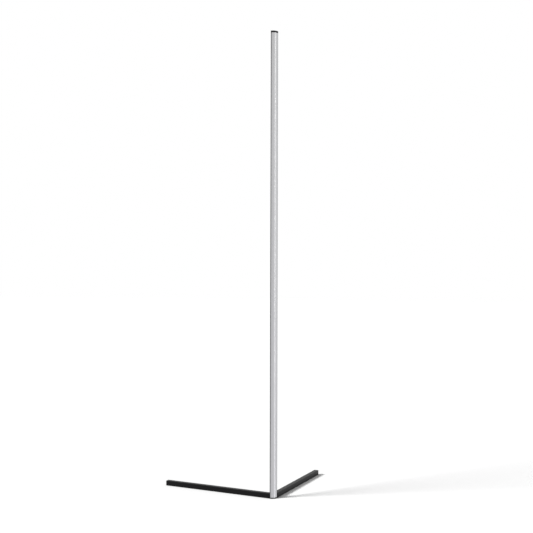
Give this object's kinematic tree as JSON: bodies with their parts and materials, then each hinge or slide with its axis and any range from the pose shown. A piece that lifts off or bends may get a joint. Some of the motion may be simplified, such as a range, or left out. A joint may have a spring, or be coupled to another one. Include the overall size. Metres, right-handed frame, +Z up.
{
  "type": "corner floor lamp",
  "caption": "Slim corner floor lamp: a tall quarter-round light column with an opal cover, standing at the point of an L-shaped base of two square bars.",
  "frame": {"origin": "on the floor, where the outer faces of the two legs meet: the corner of the room that the lamp is pushed into", "axes": "+Z up the column; +X along the leg with the power inlet; +Y along the other, slightly longer leg; the opal cover faces the origin side, towards -X and -Y"},
  "size_m": [0.352, 0.384, 1.42],
  "materials": {
    "black_anodised": "satin black anodised, fine lengthwise extrusion lines",
    "black_coated_metal": "satin black coated casting",
    "black_powder_coat": "satin black powder coat, faint lengthwise grain",
    "black_plastic": "matt black moulded",
    "opal_cover": "opal, soft satin, translucent",
    "strip_board": "white solder mask",
    "strip_tape": "thin double-sided tape",
    "led_package": "yellow phosphor in a white case, unlit",
    "resistor": "black ceramic chip",
    "solder": "tin, bright",
    "red_wire": "soft insulation",
    "black_wire": "soft insulation",
    "black_sleeve": "heat-shrunk sleeve",
    "nickel_contact": "nickel plated",
    "plated_steel": "zinc plated",
    "black_screw": "black oxide",
    "rubber_pad": "matt rubber"
  },
  "bodies": {
    "root": {"upright_profile": "black_anodised", "top_cap": "black_coated_metal", "corner_casting": "black_coated_metal", "right_leg_tube": "black_powder_coat", "left_leg_tube": "black_powder_coat", "right_leg_end_plug": "black_plastic", "left_leg_end_plug": "black_plastic", "dc_socket_body": "black_plastic", "diffuser_cover": "opal_cover", "led_strip_board": "strip_board", "led_strip_tape": "strip_tape", "led_packages": "led_package", "strip_resistors": "resistor", "strip_solder_joints": "solder", "positive_wire": "red_wire", "negative_wire": "black_wire", "wire_heat_shrink_sleeves": "black_sleeve", "dc_socket_centre_pin": "nickel_contact", "dc_socket_spring_contact": "nickel_contact", "dc_socket_nut": "plated_steel", "top_cap_screw": "black_screw", "upright_fixing_screw": "black_screw", "right_leg_screws": "black_screw", "left_leg_screws": "black_screw", "corner_foot_pad": "rubber_pad", "right_leg_foot_pad": "rubber_pad", "left_leg_foot_pad": "rubber_pad"}
  },
  "joints": []
}
